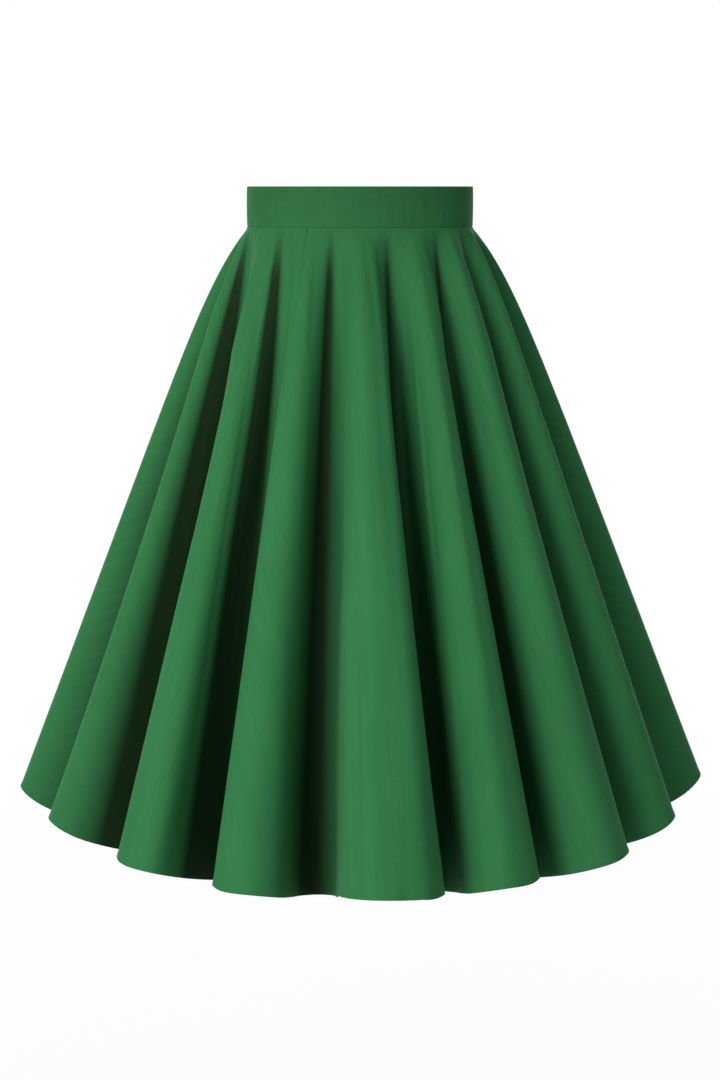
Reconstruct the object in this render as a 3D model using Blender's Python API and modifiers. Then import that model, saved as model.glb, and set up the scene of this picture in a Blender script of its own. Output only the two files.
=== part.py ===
"""Full circle skirt: straight waistband, five flared panels, concealed zip at centre back.

The skirt hangs filled out, as it does when worn. Metres, +Z up. The origin is the middle of the
waistband; the wearer faces -Y, so the wearer's left is +X.

Every cloth point is found from two numbers. The cloth angle says which ray of the circular cut it
lies on, in degrees: 0 at centre front, growing towards +X, and 180 at centre back. The share says
how far down that ray it lies, 0 at the waist seam and 1 at the hem.
"""
import math
from collections import namedtuple

import bmesh
import bpy
import numpy as np
from mathutils import Matrix

# Waist, cut and cloth
WAIST_ROUND = 0.650
WAIST_HALF_WIDTH = 0.116
WAIST_HALF_DEPTH = 0.090
CUT_RADIUS = WAIST_ROUND / math.tau
SKIRT_LENGTH = 0.660
BAND_HEIGHT = 0.041
BAND_WALL = 0.0020
CLOTH_WALL = 0.0012
SEAM_GAP = 0.0003
RING_STEPS = 1440
# How much breadth a metre of length adds, as the facets lie a little flatter than the cut
BREADTH_GROWTH = 0.8

# Seams between the panels, as cloth angles; each panel runs from one to the next
PANELS = {
    "back_right_panel": (-180, -90),
    "side_front_right_panel": (-90, -30),
    "front_panel": (-30, 30),
    "side_front_left_panel": (30, 90),
    "back_left_panel": (90, 180),
}

# The flutes that the flare falls into. A row's flute starts at its own valley and ends at the next
# row's valley.
#   cloth   cloth angle of the valley, degrees
#   hem     angle of the valley in plan at the hem, degrees
#   valley  plan radius of the valley at the hem
#   crest   plan radius of the crest at the hem
#   lean    how far the crest leans towards +X, degrees
#   first   roundness of its first wall: 1 makes it about radial, more swells it over the valley
#   second  roundness of its second wall
#   bow     how strongly the crest stands out under the band, 1 is CREST_BOW
#   rise    how much shorter the cloth is cut at the crest
Flute = namedtuple("Flute", "cloth hem valley crest lean first second bow rise")
FLUTES = (
    Flute(-168, -170.0, 0.220, 0.343, 0, 1.0, 1.0, 0.85, 0.000),
    Flute(-148, -149.0, 0.222, 0.340, 1, 1.0, 1.0, 0.85, 0.002),
    Flute(-128, -128.0, 0.220, 0.350, -1, 1.0, 1.0, 0.95, 0.000),
    Flute(-107, -104.0, 0.234, 0.370, 1, 0.9, 0.9, 1.05, 0.003),
    Flute(-90, -84.0, 0.240, 0.337, -1, 1.0, 1.0, 0.60, 0.013),
    Flute(-74, -60.0, 0.186, 0.321, 1, 1.0, 1.0, 0.35, 0.012),
    Flute(-41, -34.0, 0.214, 0.324, -0.5, 0.9, 1.0, 0.35, 0.006),
    Flute(-14.5, -8.5, 0.226, 0.350, -0.1, 1.35, 2.25, 0.95, 0.002),
    Flute(16.5, 17.5, 0.220, 0.333, -1.25, 1.3, 1.9, 0.55, 0.008),
    Flute(44.5, 38.0, 0.218, 0.337, -1, 1.2, 1.95, 0.60, 0.010),
    Flute(65.5, 61.5, 0.202, 0.341, 0, 1.15, 1.4, 0.70, 0.014),
    Flute(86, 84.0, 0.198, 0.378, 2, 0.9, 0.9, 1.05, 0.005),
    Flute(105, 107.0, 0.226, 0.352, 1, 1.0, 1.0, 0.95, 0.000),
    Flute(126, 128.0, 0.220, 0.345, -1, 1.0, 1.0, 0.90, 0.002),
    Flute(147, 149.0, 0.218, 0.341, 0, 1.0, 1.0, 0.85, 0.000),
    Flute(168, 170.0, 0.216, 0.345, 0, 1.0, 1.0, 0.85, 0.001),
)
# Swing of a flute's walls, as shares of its pitch: they lean over the valley, the crest is broad
WALL_SWING = 0.075
CREST_SPREAD = 0.035
FLUTE_STEPS = 200
# The steep valleys would hang lowest, so the hem is cut this much shorter there
VALLEY_RISE = 0.006

# The crests stand out just under the band and then fall straight; the valleys fall straight
CREST_BOW = 0.070
BOW_SPAN = 0.090
FALL_STEPS = 60

# Facets: cloth angle of a column, and the shares of the rows from waist to hem. The outermost
# columns are narrow, so that each seam edge stands square to the cloth
COLUMN_ANGLE = 1.5
EDGE_COLUMN_ANGLE = 0.15
ROW_SHARES = (0, 0.02, 0.05, 0.09, 0.15, 0.25, 0.5, 1)
BAND_COLUMNS = 72

# Concealed zip at centre back: two tapes behind the opening edges, slider and pull tab
ZIP_SLOT = 0.0016
TAPE_WIDTH = 0.012
TAPE_WALL = 0.0010
TAPE_TOP_SETBACK = 0.0005
TAPE_RUNS = (0, 0.006, 0.015, 0.030, 0.055, 0.085, 0.120, 0.160)
TAPE_COLUMNS = 3
CLEARANCE = 0.0003

# Slider: its body and plate each have a width and a depth, and joined shapes run into each other
SLIDER_TOP_SETBACK = 0.0045
SLIDER_HEIGHT = 0.0080
SLIDER_NECK_WIDTH = 0.0009
NECK_INSET = 0.0005
BODY_WIDTH = 0.0054
BODY_DEPTH = 0.0028
PLATE_WIDTH = 0.0052
PLATE_DEPTH = 0.0012
LUG_GAP = 0.0026
LUG_WALL = 0.0008
LUG_HEIGHT = 0.0024
LUG_SINK = 0.0004
PIN_STAND_OFF = 0.0016
PIN_RISE = 0.0015
PIN_RADIUS = 0.00045
PIN_SIDES = 16
EYE_RADIUS = 0.00120
EYE_BORE_RADIUS = 0.00075
EYE_WIDTH = 0.0020
EYE_SIDES = 20
TAB_SINK = 0.0002
TAB_LENGTH = 0.0220
TAB_TOP_WIDTH = 0.0020
TAB_END_RADIUS = 0.0026
TAB_END_STEPS = 8
TAB_WALL = 0.0010

SKIRT_GREEN = (0.030, 0.170, 0.062)
TAPE_GREEN = (0.024, 0.120, 0.046)
LACQUER_GREEN = (0.035, 0.190, 0.075)


def remove_everything():
    """Start from an empty scene."""
    for thing in list(bpy.data.objects):
        bpy.data.objects.remove(thing, do_unlink=True)
    for collection in list(bpy.data.collections):
        bpy.data.collections.remove(collection)


def make_collection(name):
    collection = bpy.data.collections.new(name)
    bpy.context.scene.collection.children.link(collection)
    return collection


def plain_material(name, colour, roughness, metallic=0.0):
    material = bpy.data.materials.new(name)
    material.use_nodes = True
    shader = material.node_tree.nodes["Principled BSDF"]
    shader.inputs["Base Color"].default_value = (*colour, 1.0)
    shader.inputs["Roughness"].default_value = roughness
    shader.inputs["Metallic"].default_value = metallic
    return material


def add_object(name, mesh, material, collection):
    """One named sub-part in the skirt's collection, with its own material."""
    thing = bpy.data.objects.new(name, mesh)
    mesh.materials.clear()
    mesh.materials.append(material)
    collection.objects.link(thing)
    return thing


def solidify(thing, wall, offset):
    """Give an open cloth surface its wall; offset -1 keeps the surface as the outer face."""
    modifier = thing.modifiers.new("wall", "SOLIDIFY")
    modifier.thickness = wall
    modifier.offset = offset
    modifier.use_rim = True


# ---------------------------------------------------------------- the form of the cloth

def plan_angle_to_point(angle, radius):
    """Plan points from angles in degrees (0 is -Y, 90 is +X) and radii."""
    turned = np.radians(angle)
    return np.stack([radius * np.sin(turned), -radius * np.cos(turned)], axis=-1)


def spread_round(points):
    """Cloth angle of each point of a closed ring that starts at -180, by its arc length."""
    steps = np.hypot(*np.diff(points, axis=0).T)
    lengths = np.concatenate([[0.0], np.cumsum(steps)])
    return lengths / lengths[-1] * 360.0 - 180.0


def waist_ring():
    """The waist seam in plan: an ellipse with the cloth spread evenly round it."""
    turns = np.linspace(-math.pi, math.pi, RING_STEPS + 1)
    points = np.stack([WAIST_HALF_WIDTH * np.sin(turns), -WAIST_HALF_DEPTH * np.cos(turns)], axis=-1)
    return spread_round(points), points


def hem_ring():
    """The hem in plan, one flute after another: cloth angles, points, bow and hem rise."""
    angles = []
    points = []
    bows = []
    rises = []
    for flute, following in zip(FLUTES, FLUTES[1:] + FLUTES[:1]):
        turn = 360 if following.cloth < flute.cloth else 0
        part = np.linspace(0, 1, FLUTE_STEPS + 1)
        phase = part * math.tau
        lift = (1 - np.cos(phase)) / 2
        swing = WALL_SWING * np.sin(2 * phase) - CREST_SPREAD * np.sin(phase)
        pitch = following.hem + turn - flute.hem
        fullness = np.where(part < 0.5, flute.first, flute.second)
        plan_angle = flute.hem + pitch * (part + fullness * swing) + flute.lean * lift
        valley = flute.valley + (following.valley - flute.valley) * part
        ring = plan_angle_to_point(plan_angle, valley * (1 - lift) + flute.crest * lift)
        steps = np.hypot(*np.diff(ring, axis=0).T)
        along = np.concatenate([[0.0], np.cumsum(steps)]) / steps.sum()
        angles.append(flute.cloth + (following.cloth + turn - flute.cloth) * along[:-1])
        points.append(ring[:-1])
        bows.append((flute.bow * lift)[:-1])
        rises.append((VALLEY_RISE * (1 - lift) + flute.rise * lift)[:-1])
    return tuple(np.concatenate(values) for values in (angles, points, bows, rises))


WAIST_ANGLES, WAIST_POINTS = waist_ring()
HEM_ANGLES, HEM_POINTS, HEM_BOWS, HEM_RISES = hem_ring()


def read_ring(angle, ring_angles, values):
    """Values of a closed ring at the cloth angles asked for."""
    if values.ndim == 1:
        return np.interp(angle, ring_angles, values, period=360.0)
    columns = [np.interp(angle, ring_angles, values[:, axis], period=360.0) for axis in range(2)]
    return np.stack(columns, axis=-1)


def way_out(share, bow):
    """How far a ray has gone from waist to hem in plan, at a share of its length."""
    bend = (1 - np.exp(-share / BOW_SPAN)) / (1 - math.exp(-1 / BOW_SPAN))
    return (1 - bow) * share + bow * bend


def cloth_point(angle, share):
    """Points of the cloth's outer face; angle and share are arrays of one shape."""
    waist = read_ring(angle, WAIST_ANGLES, WAIST_POINTS)
    hem = read_ring(angle, HEM_ANGLES, HEM_POINTS)
    run = np.hypot(*(hem - waist).T).T
    bow = CREST_BOW * read_ring(angle, HEM_ANGLES, HEM_BOWS)
    length = SKIRT_LENGTH - read_ring(angle, HEM_ANGLES, HEM_RISES)

    drop = np.zeros_like(share)
    for step in range(FALL_STEPS):
        upper = share * step / FALL_STEPS
        lower = share * (step + 1) / FALL_STEPS
        out = run * (way_out(lower, bow) - way_out(upper, bow))
        drop += np.sqrt((length * (lower - upper)) ** 2 - out ** 2)

    plan = waist + (hem - waist) * way_out(share, bow)[..., None]
    height = -BAND_HEIGHT / 2 - SEAM_GAP - drop
    return np.concatenate([plan, height[..., None]], axis=-1)


def cloth_normal(angle, share):
    """Outward unit normals of the cloth's outer face."""
    small_angle = 0.05
    small_share = 0.001
    across = cloth_point(angle + small_angle, share) - cloth_point(angle - small_angle, share)
    upper = np.maximum(share - small_share, 0.0)
    down = cloth_point(angle, share + small_share) - cloth_point(angle, upper)
    normal = np.cross(down, across)
    return normal / np.linalg.norm(normal, axis=-1, keepdims=True)


# ---------------------------------------------------------------- grids laid over the form

def make_grid(name, columns, rows, place):
    """An open grid mesh; place(across, down) gives its points from shares 0 to 1."""
    bm = bmesh.new()
    bmesh.ops.create_grid(bm, x_segments=columns, y_segments=rows, size=1.0)
    across = np.array([(vertex.co.x + 1) / 2 for vertex in bm.verts])
    down = np.array([(1 - vertex.co.y) / 2 for vertex in bm.verts])
    for vertex, point in zip(bm.verts, place(across, down)):
        vertex.co = point
    mesh = bpy.data.meshes.new(name)
    bm.to_mesh(mesh)
    bm.free()
    mesh.shade_smooth()
    return mesh


def panel(name, start, end, material, collection):
    """A skirt panel: its rays run from seam to seam, half a seam gap short on each side."""
    inner_columns = round((end - start) / COLUMN_ANGLE)
    columns = inner_columns + 2
    rows = len(ROW_SHARES) - 1
    stations = np.linspace(start, end, inner_columns + 1)
    edges = (start + EDGE_COLUMN_ANGLE, end - EDGE_COLUMN_ANGLE)
    stations = np.concatenate([stations[:1], edges[:1], stations[1:-1], edges[1:], stations[-1:]])

    def place(across, down):
        share = np.interp(down * rows, range(rows + 1), ROW_SHARES)
        half_gap = np.degrees(SEAM_GAP / 2 / (CUT_RADIUS + share * SKIRT_LENGTH * BREADTH_GROWTH))
        angle = np.interp(across * columns, range(columns + 1), stations)
        return cloth_point(np.clip(angle, start + half_gap, end - half_gap), share)

    thing = add_object(name, make_grid(name, columns, rows, place), material, collection)
    solidify(thing, CLOTH_WALL, -1)
    return thing


def waistband(material, collection):
    """One straight strip round the waist, its ends a zip slot apart at centre back."""
    half_slot = math.degrees(ZIP_SLOT / 2 / CUT_RADIUS)

    def place(across, down):
        angle = -180 + half_slot + (360 - 2 * half_slot) * across
        plan = read_ring(angle, WAIST_ANGLES, WAIST_POINTS)
        height = BAND_HEIGHT * (0.5 - down)
        return np.concatenate([plan, height[..., None]], axis=-1)

    mesh = make_grid("waistband", BAND_COLUMNS, 1, place)
    thing = add_object("waistband", mesh, material, collection)
    solidify(thing, BAND_WALL, -1)
    return thing


def zip_tape(name, side, material, collection):
    """A zip tape behind one edge of the opening; side is 1 for the wearer's left, -1 for the right."""
    runs = (TAPE_TOP_SETBACK - BAND_HEIGHT,) + TAPE_RUNS
    rows = len(runs) - 1

    def place(across, down):
        reach = ZIP_SLOT / 2 + TAPE_WIDTH * (1 - across if side > 0 else across)
        run = np.interp(down * rows, range(rows + 1), runs)
        below = np.clip(run, 0.0, None)
        share = below / SKIRT_LENGTH
        angle = side * (180 - np.degrees(reach / (CUT_RADIUS + below * BREADTH_GROWTH)))
        point = cloth_point(angle, share)
        point[:, 2] -= np.clip(run, None, 0.0)
        normal = cloth_normal(angle, share)
        normal[:, 2] = np.where(below > 0, normal[:, 2], 0.0)
        normal /= np.linalg.norm(normal, axis=-1, keepdims=True)
        return point - normal * (BAND_WALL + CLEARANCE)

    mesh = make_grid(name, TAPE_COLUMNS, rows, place)
    thing = add_object(name, mesh, material, collection)
    solidify(thing, TAPE_WALL, -1)
    return thing


# ---------------------------------------------------------------- slider and pull tab

def box(bm, size, centre):
    matrix = Matrix.Translation(centre) @ Matrix.Diagonal((*size, 1.0))
    bmesh.ops.create_cube(bm, size=1.0, matrix=matrix)


def bar_along_x(bm, radius, length, centre, sides):
    matrix = Matrix.Translation(centre) @ Matrix.Rotation(math.pi / 2, 4, "Y")
    bmesh.ops.create_cone(bm, cap_ends=True, segments=sides, radius1=radius, radius2=radius,
                          depth=length, matrix=matrix)


def mesh_object(name, shapes, material, collection):
    """An object from a function that adds shapes to a bmesh."""
    bm = bmesh.new()
    shapes(bm)
    bmesh.ops.recalc_face_normals(bm, faces=bm.faces)
    mesh = bpy.data.meshes.new(name)
    bm.to_mesh(mesh)
    bm.free()
    return add_object(name, mesh, material, collection)


def combine(thing, other, operation):
    """Apply a Boolean of another object to a thing, keeping the other as a hidden tool."""
    other.hide_render = True
    other.display_type = "WIRE"
    modifier = thing.modifiers.new(operation.lower(), "BOOLEAN")
    modifier.operation = operation
    modifier.object = other
    modifier.solver = "EXACT"


# Outer face of the band at centre back, outer face of the slider's plate, and the pull tab's hinge
BACK_FACE = WAIST_HALF_DEPTH
PLATE_FACE = BACK_FACE + CLEARANCE + PLATE_DEPTH
SLIDER_MIDDLE = BAND_HEIGHT / 2 - SLIDER_TOP_SETBACK - SLIDER_HEIGHT / 2
PIN_DEPTH = PLATE_FACE + PIN_STAND_OFF
PIN_HEIGHT = SLIDER_MIDDLE + PIN_RISE


def zip_slider(material, collection, tools):
    """Body behind the tapes, neck through the slot, plate in front, two lugs and a pin."""
    body_face = BACK_FACE - BAND_WALL - 2 * CLEARANCE - TAPE_WALL
    body_back = body_face - BODY_DEPTH
    lug_reach = PIN_STAND_OFF + LUG_HEIGHT / 2

    def plate(bm):
        centre = (0, PLATE_FACE - PLATE_DEPTH / 2, SLIDER_MIDDLE)
        box(bm, (PLATE_WIDTH, PLATE_DEPTH, SLIDER_HEIGHT), centre)

    def neck(bm):
        depth = PLATE_FACE - body_back - 2 * NECK_INSET
        centre = (0, body_back + NECK_INSET + depth / 2, SLIDER_MIDDLE)
        box(bm, (SLIDER_NECK_WIDTH, depth, SLIDER_HEIGHT - 2 * NECK_INSET), centre)

    def body(bm):
        centre = (0, body_back + BODY_DEPTH / 2, SLIDER_MIDDLE)
        box(bm, (BODY_WIDTH, BODY_DEPTH, SLIDER_HEIGHT), centre)

    def lug(bm, side):
        x = side * (LUG_GAP + LUG_WALL) / 2
        depth = lug_reach + LUG_SINK
        box(bm, (LUG_WALL, depth, LUG_HEIGHT), (x, PLATE_FACE + lug_reach - depth / 2, PIN_HEIGHT))

    def pin(bm):
        bar_along_x(bm, PIN_RADIUS, LUG_GAP + LUG_WALL, (0, PIN_DEPTH, PIN_HEIGHT), PIN_SIDES)

    slider = mesh_object("zip_slider", plate, material, collection)
    additions = {
        "slider_neck": neck,
        "slider_body": body,
        "slider_lug_left": lambda bm: lug(bm, 1),
        "slider_lug_right": lambda bm: lug(bm, -1),
        "slider_pin": pin,
    }
    for name, shapes in additions.items():
        combine(slider, mesh_object(name, shapes, material, tools), "UNION")
    return slider


def pull_tab_outline():
    """Outline of the flat tab below its eye, in X and Z from the hinge line, with a round end."""
    half_top = TAB_TOP_WIDTH / 2
    top = -EYE_BORE_RADIUS - TAB_SINK
    low = -TAB_LENGTH + TAB_END_RADIUS
    outline = [(-half_top, top)]
    for turn in range(TAB_END_STEPS + 1):
        angle = math.pi + math.pi * turn / TAB_END_STEPS
        outline.append((TAB_END_RADIUS * math.cos(angle), low + TAB_END_RADIUS * math.sin(angle)))
    outline.append((half_top, top))
    return outline


def zip_pull(material, collection, tools):
    """Pull tab: an eye round the slider's pin and a flat tab, hanging straight down."""
    hinge = bpy.data.objects.new("pull_hinge", None)
    hinge.location = (0, PIN_DEPTH, PIN_HEIGHT)
    collection.objects.link(hinge)

    def eye(bm):
        bar_along_x(bm, EYE_RADIUS, EYE_WIDTH, (0, 0, 0), EYE_SIDES)

    def bore(bm):
        bar_along_x(bm, EYE_BORE_RADIUS, EYE_WIDTH * 2, (0, 0, 0), EYE_SIDES)

    def tab(bm):
        outline = [bm.verts.new((x, -TAB_WALL / 2, z)) for x, z in pull_tab_outline()]
        face = bm.faces.new(outline)
        grown = bmesh.ops.extrude_face_region(bm, geom=[face])
        far = [item for item in grown["geom"] if isinstance(item, bmesh.types.BMVert)]
        bmesh.ops.translate(bm, verts=far, vec=(0, TAB_WALL, 0))

    pull = mesh_object("zip_pull", eye, material, collection)
    tab_tool = mesh_object("pull_tab_plate", tab, material, tools)
    bore_tool = mesh_object("pull_eye_bore", bore, material, tools)
    for thing in (pull, tab_tool, bore_tool):
        thing.parent = hinge
    combine(pull, tab_tool, "UNION")
    combine(pull, bore_tool, "DIFFERENCE")
    return pull


def build():
    remove_everything()
    collection = make_collection("circle_skirt")
    tools = make_collection("boolean_tools")
    cloth = plain_material("skirt_cloth", SKIRT_GREEN, 0.75)
    band_cloth = plain_material("waistband_cloth", SKIRT_GREEN, 0.75)
    tape = plain_material("zip_tape", TAPE_GREEN, 0.85)
    lacquer = plain_material("zip_lacquer", LACQUER_GREEN, 0.35)

    waistband(band_cloth, collection)
    for name, (start, end) in PANELS.items():
        panel(name, start, end, cloth, collection)
    zip_tape("zip_tape_left", 1, tape, collection)
    zip_tape("zip_tape_right", -1, tape, collection)
    zip_slider(lacquer, collection, tools)
    zip_pull(lacquer, collection, tools)
    bpy.context.view_layer.update()


build()
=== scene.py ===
"""Looks of the circle skirt: sateen panels that fall in flutes, waistband, concealed zip, studio.

The cloth is laid out in the skirt's own measures. The cloth angle says which ray of the circular
cut a point lies on, in degrees: 0 at centre front, growing towards +X, the wearer's left, and 180
at centre back. The share says how far down that ray it lies, 0 at the waist seam and 1 at the hem.
"""
import math
from collections import namedtuple
import bmesh
import bpy
import numpy as np
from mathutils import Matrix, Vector


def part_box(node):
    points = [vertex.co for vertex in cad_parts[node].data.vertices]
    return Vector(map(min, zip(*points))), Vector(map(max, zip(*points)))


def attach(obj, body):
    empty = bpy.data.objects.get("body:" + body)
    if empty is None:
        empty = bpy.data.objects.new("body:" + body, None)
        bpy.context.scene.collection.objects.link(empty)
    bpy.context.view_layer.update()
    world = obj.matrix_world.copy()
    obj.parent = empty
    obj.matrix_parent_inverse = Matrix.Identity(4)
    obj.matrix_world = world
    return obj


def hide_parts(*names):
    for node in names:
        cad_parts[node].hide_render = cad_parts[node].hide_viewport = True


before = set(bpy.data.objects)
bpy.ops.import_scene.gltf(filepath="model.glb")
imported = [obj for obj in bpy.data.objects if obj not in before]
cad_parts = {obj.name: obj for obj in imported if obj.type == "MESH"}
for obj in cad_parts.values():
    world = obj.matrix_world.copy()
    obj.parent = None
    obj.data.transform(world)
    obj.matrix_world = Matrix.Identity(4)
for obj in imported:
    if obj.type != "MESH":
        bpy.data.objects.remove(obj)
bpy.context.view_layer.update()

# ---------------- sizes read from the frame

BAND_LOW, BAND_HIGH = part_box("waistband")
WAIST_HALF_WIDTH = BAND_HIGH.x
WAIST_HALF_DEPTH = -BAND_LOW.y
BAND_TOP = BAND_HIGH.z
BAND_FOOT = BAND_LOW.z
BAND_HEIGHT = BAND_TOP - BAND_FOOT
HEM_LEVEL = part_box("front_panel")[0].z

# ---------------- the cut

WAIST_ROUND = 0.650
CUT_RADIUS = WAIST_ROUND / math.tau
SKIRT_LENGTH = 0.660
SEAM_GAP = 0.0003
FULL_TURN = 360.0
WAIST_STEPS = 1440

Panel = namedtuple("Panel", "node start end")
PANELS = (
    Panel("back_right_panel", -180, -90),
    Panel("side_front_right_panel", -90, -30),
    Panel("front_panel", -30, 30),
    Panel("side_front_left_panel", 30, 90),
    Panel("back_left_panel", 90, 180),
)

# The flutes that the flare falls into. A row's flute starts at its own valley and ends at the next
# row's valley.
#   cloth   cloth angle of the valley, degrees
#   hem     angle of the valley in plan at the hem, degrees
#   valley  plan radius of the valley at the hem
#   crest   plan radius of the crest at the hem
#   lean    how far the crest leans towards +X, degrees
#   first   roundness of its first wall: 1 makes it about radial, more swells it over the valley
#   second  roundness of its second wall
#   bow     how strongly the crest stands out under the band, 1 is CREST_BOW
#   rise    how much shorter the cloth is cut at the crest
#   dim     how deep the shade painted into the valley's colour is; over 1 it spreads up its walls
#   off     how far from the valley the deepest painted shade lies, degrees of cloth angle
#   fine    how narrow the valley's painted shade is
Flute = namedtuple("Flute", "cloth hem valley crest lean first second bow rise dim off fine")
FLUTES = [Flute(*row) for row in (
    (-168, -170, 0.22, 0.343, 0, 1, 1, 0.85, 0, 0.95, 0, 2),
    (-148, -149, 0.222, 0.34, 1, 1, 1, 0.85, 0.002, 0.95, 0, 2),
    (-128, -128, 0.22, 0.35, -1, 1, 1, 0.95, 0, 0.95, 0, 2),
    (-107, -104, 0.234, 0.37, 1, 0.9, 0.9, 1.05, 0.003, 1, 0, 2),
    (-90, -84, 0.24, 0.337, -1, 1, 1, 0.6, 0.013, 1.15, -4, 3),
    (-74, -60, 0.186, 0.321, 1, 1, 1, 0.35, 0.012, 2.8, -4.5, 9.5),
    (-41, -34, 0.214, 0.324, -0.5, 0.9, 1, 0.35, 0.006, 3, -4.7, 4),
    (-14.5, -8.5, 0.226, 0.35, -0.1, 1.35, 2.25, 0.95, 0.002, 1, -1.2, 4.5),
    (16.5, 17.5, 0.22, 0.333, -1.25, 1.3, 1.9, 0.55, 0.008, 1, -2.4, 3),
    (44.5, 38, 0.218, 0.337, -1, 1.2, 1.95, 0.6, 0.01, 1.4, -1.5, 2),
    (65.5, 61.5, 0.202, 0.341, 0, 1.15, 1.4, 0.7, 0.014, 4.5, -1.8, 2),
    (86, 84, 0.198, 0.378, 2, 0.9, 0.9, 1.05, 0.005, 5, -1.5, 2),
    (105, 107, 0.226, 0.352, 1, 1, 1, 0.95, 0, 1, 0, 2),
    (126, 128, 0.22, 0.345, -1, 1, 1, 0.9, 0.002, 0.95, 0, 2),
    (147, 149, 0.218, 0.341, 0, 1, 1, 0.85, 0, 0.95, 0, 2),
    (168, 170, 0.216, 0.345, 0, 1, 1, 0.85, 0.001, 0.95, 0, 2),
)]
# How far the walls swing over the valleys, and how much wider the crests are than the valleys
WALL_SWING = 0.075
CREST_SPREAD = 0.035
FLUTE_STEPS = 200
# The steep valleys would hang lowest, so the hem is cut this much shorter there
VALLEY_RISE = 0.006
# How far the crests stand out under the band, and the share of the length they do it in
CREST_BOW = 0.070
BOW_SPAN = 0.090
FALL_STEPS = 60
# The shade painted into the folds' colour: how much narrower it is at the waist and how fast that
# eases, where it begins and over what share it deepens
DIM_TOP_SHARPNESS = 13.0
DIM_SPREAD = 0.10
DIM_START = -0.015
DIM_RAMP = 0.10
# The even shade painted into the cloth's colour under the band, and how fast it eases
TOP_SHADE = 0.20
TOP_SHADE_SPREAD = 0.15

# ---------------- creases, in the cloth

# Pinches that the gathered turn of the cloth makes just under the band.
#   angle   cloth angle of its line, degrees
#   width   half its width, metres
#   height  how far it stands out, or sinks in where it is negative
#   run     how far down it fades out
Pinch = namedtuple("Pinch", "angle width height run")
PINCH_SPREAD = 0.8
PINCH_START = 0.006
PINCHES = [Pinch(*row) for row in (
    (-174, 0.0037, 0.00036, 0.045),
    (-161, 0.0051, -0.00042, 0.05),
    (-153, 0.0034, 0.00036, 0.035),
    (-141, 0.0041, -0.00036, 0.04),
    (-133, 0.0044, 0.00042, 0.05),
    (-119, 0.0037, -0.00036, 0.045),
    (-112, 0.0034, 0.00036, 0.03),
    (-96, 0.0044, 0.00042, 0.045),
    (-87, 0.0031, -0.0003, 0.03),
    (-74, 0.0037, 0.00042, 0.045),
    (-62, 0.0029, 0.0006, 0.075),
    (-59, 0.0031, -0.00036, 0.06),
    (-54, 0.0037, 0.0003, 0.04),
    (-40, 0.0031, 0.00036, 0.035),
    (-24, 0.0048, 0.0003, 0.05),
    (-10.5, 0.0031, 0.00036, 0.04),
    (-7, 0.0024, -0.0003, 0.032),
    (-3.5, 0.0026, 0.0003, 0.035),
    (4.5, 0.0027, -0.0003, 0.03),
    (9.5, 0.0034, 0.00042, 0.04),
    (20, 0.0031, 0.00036, 0.035),
    (25, 0.0037, -0.0003, 0.045),
    (33, 0.0041, 0.00036, 0.045),
    (46, 0.0034, -0.0003, 0.035),
    (52, 0.0037, 0.00042, 0.045),
    (70, 0.0034, 0.00036, 0.04),
    (78, 0.0031, -0.0003, 0.035),
    (92, 0.0041, 0.00042, 0.045),
    (99, 0.0031, -0.0003, 0.03),
    (114, 0.0037, 0.00036, 0.045),
    (121, 0.0034, -0.00036, 0.04),
    (134, 0.0044, 0.00042, 0.05),
    (143, 0.0031, -0.0003, 0.035),
    (156, 0.0037, 0.00036, 0.045),
    (163, 0.0034, -0.00036, 0.035),
    (174, 0.0041, 0.00036, 0.045),
)]

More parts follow.
